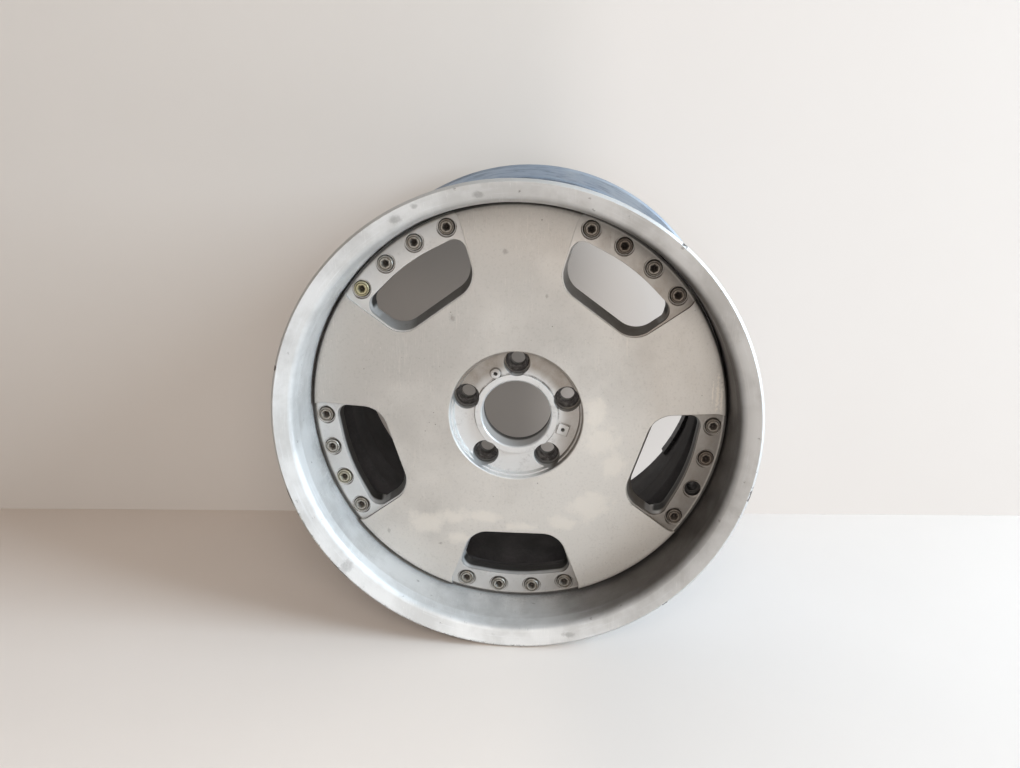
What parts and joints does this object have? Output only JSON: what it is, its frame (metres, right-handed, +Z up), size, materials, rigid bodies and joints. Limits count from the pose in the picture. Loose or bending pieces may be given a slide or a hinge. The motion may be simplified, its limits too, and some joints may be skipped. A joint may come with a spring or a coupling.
{
  "type": "alloy wheel",
  "caption": "Used deep-lipped alloy car wheel with a broad-spoked cast centre bolted into a turned rim, bare of its tyre and centre cap.",
  "frame": {"origin": "middle of the wheel, on the axle line halfway between the outer faces of the two flanges", "axes": "+Y along the axle towards the car, the outer face looks to -Y; +Z up, with a spoke at the top; +X to the right as seen from outside"},
  "size_m": [0.4919, 0.306, 0.492],
  "materials": {
    "rim_aluminium": "bare, oxidised and kerbed",
    "centre_lacquer": "satin warm-silver lacquer over cast aluminium, worn",
    "seat_steel": "dark plated",
    "bolt_steel": "dull zinc plate",
    "insert_steel": "plain",
    "valve_brass": "nickel plated",
    "valve_rubber": "matt",
    "valve_plastic": "moulded",
    "weight_steel": "dull grey coating",
    "weight_foam": "foam tape"
  },
  "bodies": {
    "root": {"rim": "rim_aluminium", "centre_disc": "centre_lacquer", "lug_seats": "seat_steel", "rim_bolts": "bolt_steel", "thread_inserts": "insert_steel", "valve_stem": "valve_brass", "valve_nut": "valve_brass", "valve_seal": "valve_rubber", "valve_cap": "valve_plastic", "balance_weights": "weight_steel", "weight_tape": "weight_foam"}
  },
  "joints": []
}
